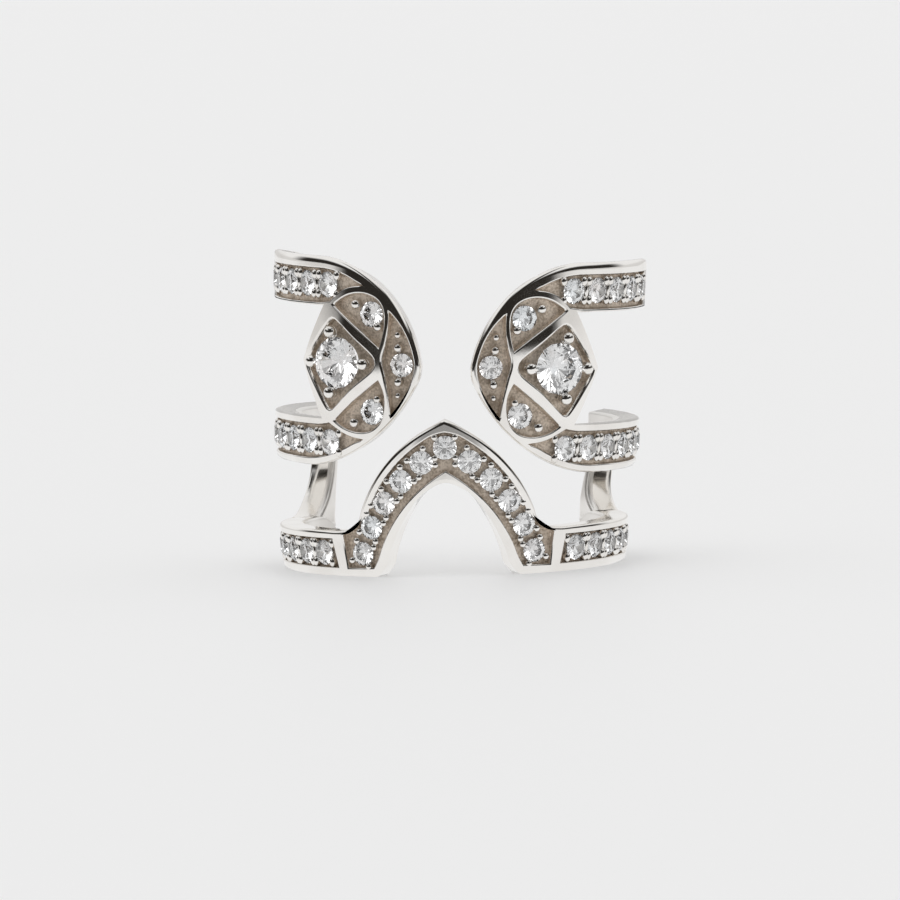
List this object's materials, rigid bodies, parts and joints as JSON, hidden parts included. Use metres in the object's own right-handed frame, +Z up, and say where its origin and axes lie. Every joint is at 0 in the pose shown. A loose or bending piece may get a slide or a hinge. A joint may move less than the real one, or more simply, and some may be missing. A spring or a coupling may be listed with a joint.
{
  "type": "nail ring",
  "caption": "Wide open-backed fingertip ring: two pointed heads set with stones face each other above a band that rises in a pointed arch.",
  "frame": {"origin": "on the finger axis, in the plane of the lower rim that the ring stands on", "axes": "+Z up along the finger axis, towards the fingertip; -Y is the front with the arch; +X is the wearer's side on the picture's right"},
  "size_m": [0.0185, 0.0146, 0.0156],
  "materials": {
    "silver": "white rhodium-plated silver, polished rims and satin recess floors",
    "stones": "clear round brilliants, polished facets"
  },
  "bodies": {
    "root": {"ring_frame": "silver", "left_main_stone": "stones", "right_main_stone": "stones", "left_upper_petal_stone": "stones", "right_upper_petal_stone": "stones", "left_lower_petal_stone": "stones", "right_lower_petal_stone": "stones", "left_tip_stone": "stones", "right_tip_stone": "stones", "arch_stone_1": "stones", "arch_stone_2": "stones", "arch_stone_3": "stones", "arch_stone_4": "stones", "arch_stone_5": "stones", "arch_stone_6": "stones", "arch_stone_7": "stones", "arch_stone_8": "stones", "arch_stone_9": "stones", "arch_stone_10": "stones", "arch_stone_11": "stones", "left_upper_row": "stones", "right_upper_row": "stones", "left_middle_row": "stones", "right_middle_row": "stones", "left_lower_row": "stones", "right_lower_row": "stones"}
  },
  "joints": []
}
